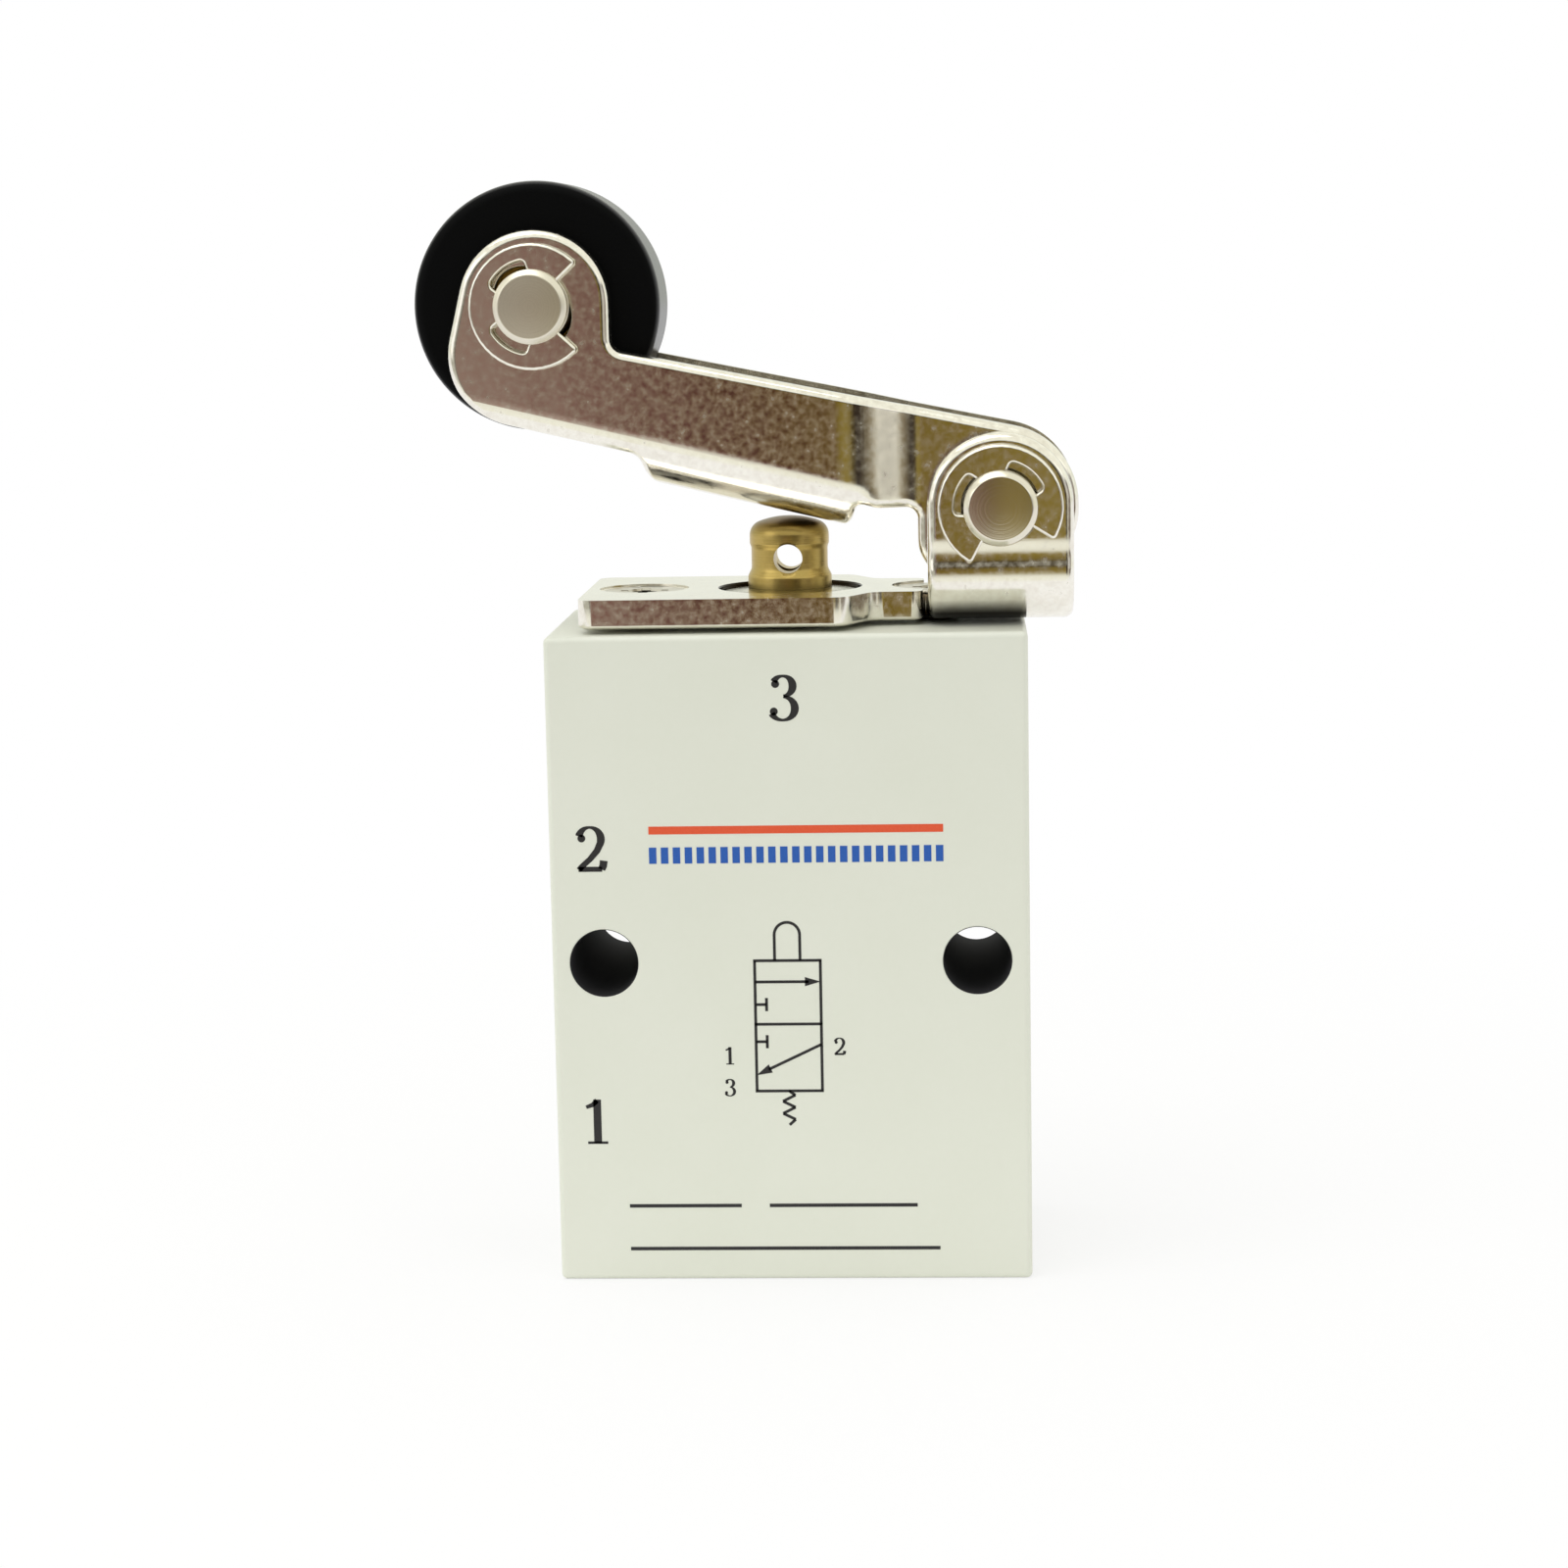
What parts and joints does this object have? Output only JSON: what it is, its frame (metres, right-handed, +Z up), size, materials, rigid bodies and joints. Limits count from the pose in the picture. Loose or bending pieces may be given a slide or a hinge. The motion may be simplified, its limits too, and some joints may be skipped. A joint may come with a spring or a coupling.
{
  "type": "roller lever air valve",
  "caption": "Small pneumatic valve block with a pressed steel lever and a black roller that push a brass plunger down.",
  "frame": {"origin": "middle of the back mounting face, halfway between the two mounting holes", "axes": "+X towards the lever's pivot, +Y out of the back mounting face, +Z up towards the roller"},
  "size_m": [0.0442, 0.018, 0.0738],
  "materials": {
    "cream_enamel": "satin cream enamel",
    "nickel_plate": "bright nickel plate on pressed steel",
    "turned_steel": "turned, satin",
    "brass": "turned, satin",
    "black_rubber": "matt",
    "black_nylon": "moulded, satin",
    "spring_wire": "drawn wire"
  },
  "bodies": {
    "body": {"valve_body": "cream_enamel", "lever_bracket": "nickel_plate", "bracket_screw_left": "turned_steel", "bracket_screw_right": "turned_steel", "guide_bush": "turned_steel", "bush_o_ring": "black_rubber", "end_plug": "brass", "end_plug_o_ring": "black_rubber", "pivot_pin": "turned_steel", "pivot_e_clip": "nickel_plate", "plunger_spring": "spring_wire", "poppet_spring": "spring_wire"},
    "lever": {"lever": "nickel_plate", "roller_pin": "turned_steel", "roller_e_clip": "nickel_plate"},
    "roller": {"roller": "black_nylon", "roller_bush": "brass"},
    "plunger": {"plunger": "brass", "plunger_o_ring": "black_rubber"},
    "poppet": {"poppet": "brass", "poppet_seal": "black_rubber"}
  },
  "joints": [
    {"name": "lever_pivot", "type": "hinge", "parent": "body", "child": "lever", "pos_m": [0.0143, -0.009, 0.03], "axis": [0, -1, 0], "range_deg": [0, 10], "stiffness_Nm_per_rad": 0.6, "springref_deg": -11.46},
    {"name": "roller_spin", "type": "hinge", "parent": "lever", "child": "roller", "pos_m": [-0.01644, -0.009, 0.0436], "axis": [0, 1, 0], "continuous": true},
    {"name": "plunger_slide", "type": "slide", "parent": "body", "child": "plunger", "axis": [0, 0, -1], "range_m": [0, 0.0025], "deforming": ["plunger_spring"]},
    {"name": "poppet_slide", "type": "slide", "parent": "body", "child": "poppet", "axis": [0, 0, -1], "range_m": [0, 0.0016], "deforming": ["poppet_spring"]}
  ],
  "couplings": [
    {"joint": "plunger_slide", "follows": "lever_pivot", "m_per_rad": 0.0141},
    {"joint": "poppet_slide", "follows": "lever_pivot", "m_per_rad": 0.00894}
  ]
}
